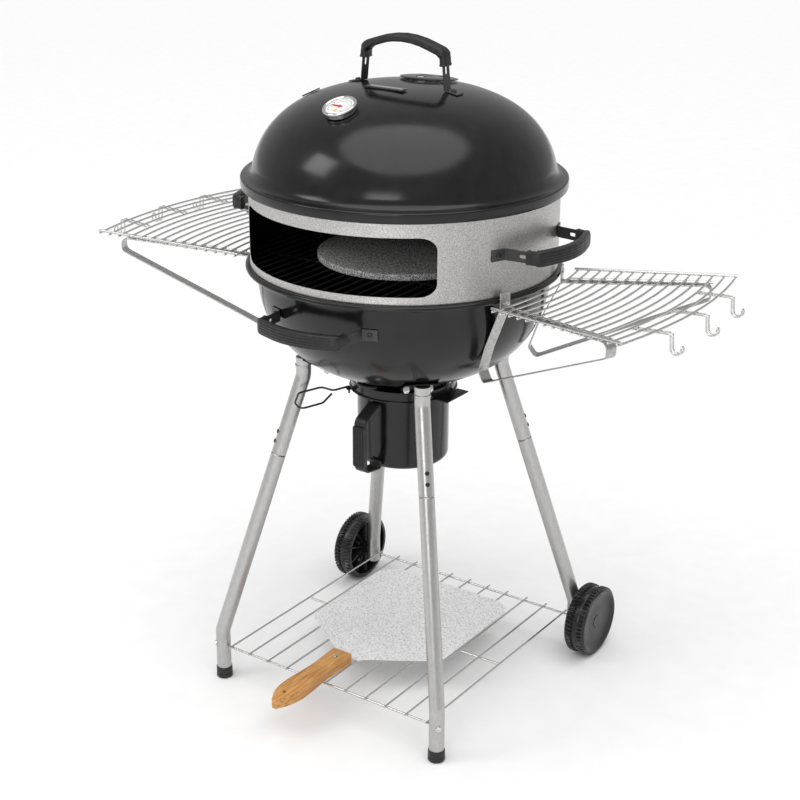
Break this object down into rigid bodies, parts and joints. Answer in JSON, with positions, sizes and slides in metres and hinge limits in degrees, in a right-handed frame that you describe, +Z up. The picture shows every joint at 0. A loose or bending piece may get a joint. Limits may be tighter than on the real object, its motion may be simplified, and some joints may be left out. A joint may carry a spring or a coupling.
{
  "type": "kettle charcoal grill",
  "caption": "Round kettle charcoal grill on legs and wheels, with a ring for baking pizza, a domed lid, wire side trays, an ash pot and a wooden-handled peel on the rack.",
  "frame": {"origin": "on the ground, under the middle of the kettle", "axes": "+Z up; -Y towards the front, where the ring mouth, the front handle and the thermometer are; +X towards the right-hand tray"},
  "size_m": [1.2214, 0.6891, 1.2229],
  "materials": {
    "black_enamel": "gloss",
    "ring_steel": "satin",
    "black_plastic": "satin",
    "wheel_plastic": "gloss",
    "leg_metal": "satin",
    "bracket_steel": "satin",
    "chrome_wire": "polished",
    "bright_steel": "polished",
    "black_strap": "satin",
    "sweeper_steel": "satin",
    "grate_wire": "satin",
    "stone": "matte",
    "peel_aluminium": "satin",
    "peel_wood": "oiled",
    "dial_face": "satin",
    "red_needle": "satin"
  },
  "bodies": {
    "stand": {"ash_collar": "black_enamel", "bottom_rack": "chrome_wire", "bowl": "black_enamel", "bowl_handle_grip": "black_plastic", "bowl_handle_strap": "black_strap", "bracket_left_front": "bracket_steel", "bracket_left_rear": "bracket_steel", "bracket_right_front": "bracket_steel", "bracket_right_rear": "bracket_steel", "foot_cap_front_left": "black_plastic", "foot_cap_front_right": "black_plastic", "hook_left_front": "chrome_wire", "hook_left_middle": "chrome_wire", "hook_left_rear": "chrome_wire", "hook_right_front": "chrome_wire", "hook_right_middle": "chrome_wire", "hook_right_rear": "chrome_wire", "leg_lower_front_left": "leg_metal", "leg_lower_front_right": "leg_metal", "leg_lower_rear_left": "leg_metal", "leg_lower_rear_right": "leg_metal", "leg_upper_front_left": "leg_metal", "leg_upper_front_right": "leg_metal", "leg_upper_rear_left": "leg_metal", "leg_upper_rear_right": "leg_metal", "tray_left": "chrome_wire", "tray_right": "chrome_wire"},
    "lid": {"lid": "black_enamel", "lid_handle_grip": "black_plastic", "lid_handle_strap": "black_strap", "thermometer_bezel": "bright_steel", "thermometer_dial": "dial_face", "lid_badge": "bright_steel", "lid_clip": "black_strap"},
    "ring": {"pizza_ring": "ring_steel", "ring_handle_left_grip": "black_plastic", "ring_handle_left_strap": "black_strap", "ring_handle_right_grip": "black_plastic", "ring_handle_right_strap": "black_strap"},
    "damper": {"lid_damper": "black_enamel"},
    "needle": {"thermometer_needle": "red_needle"},
    "grate": {"cooking_grate": "grate_wire"},
    "stone": {"pizza_stone": "stone"},
    "pot": {"ash_pot": "black_enamel", "ash_pot_handle": "black_plastic"},
    "sweeper": {"ash_sweeper": "sweeper_steel", "lever_knob": "black_plastic"},
    "bail": {"latch_bail": "bright_steel"},
    "coal": {"charcoal_grate": "grate_wire"},
    "wheel_left_turn": {"wheel_left": "wheel_plastic"},
    "wheel_right_turn": {"wheel_right": "wheel_plastic"},
    "peel": {"peel_blade": "peel_aluminium", "peel_handle": "peel_wood", "peel_rivet": "bright_steel"}
  },
  "joints": [
    {"name": "ring_lift", "type": "slide", "parent": "stand", "child": "ring", "axis": [0, 0, 1], "range_m": [0, 0.25]},
    {"name": "lid_lift", "type": "slide", "parent": "ring", "child": "lid", "axis": [0, 0, 1], "range_m": [0, 0.25]},
    {"name": "damper_turn", "type": "hinge", "parent": "lid", "child": "damper", "pos_m": [0, 0.074, 1.13501], "axis": [0, 0.1025, 0.9947], "range_deg": [0, 60]},
    {"name": "needle_turn", "type": "hinge", "parent": "lid", "child": "needle", "pos_m": [-0.01439, -0.16449, 1.11369], "axis": [-0.0335, -0.3834, 0.923], "range_deg": [-220, 40]},
    {"name": "grate_lift", "type": "slide", "parent": "stand", "child": "grate", "axis": [0, 0, 1], "range_m": [0, 0.13]},
    {"name": "coal_lift", "type": "slide", "parent": "stand", "child": "coal", "axis": [0, 0, 1], "range_m": [0, 0.13]},
    {"name": "stone_lift", "type": "slide", "parent": "grate", "child": "stone", "axis": [0, 0, 1], "range_m": [0, 0.08]},
    {"name": "pot_drop", "type": "slide", "parent": "stand", "child": "pot", "axis": [0, 0, -1], "range_m": [0, 0.2]},
    {"name": "sweeper_turn", "type": "hinge", "parent": "stand", "child": "sweeper", "pos_m": [0, 0, 0.606], "axis": [0, 0, 1], "range_deg": [-28, 28]},
    {"name": "bail_swing", "type": "hinge", "parent": "stand", "child": "bail", "pos_m": [-0.06172, -0.08495, 0.583], "axis": [0, 0, 1], "range_deg": [-6, 20]},
    {"name": "wheel_left_spin", "type": "hinge", "parent": "stand", "child": "wheel_left_turn", "pos_m": [-0.26203, 0.24713, 0.07], "axis": [1, 0, 0], "continuous": true},
    {"name": "wheel_right_spin", "type": "hinge", "parent": "stand", "child": "wheel_right_turn", "pos_m": [0.26203, 0.24713, 0.07], "axis": [1, 0, 0], "continuous": true},
    {"name": "peel_slide", "type": "slide", "parent": "stand", "child": "peel", "axis": [0, -1, 0], "range_m": [0, 0.46]}
  ]
}
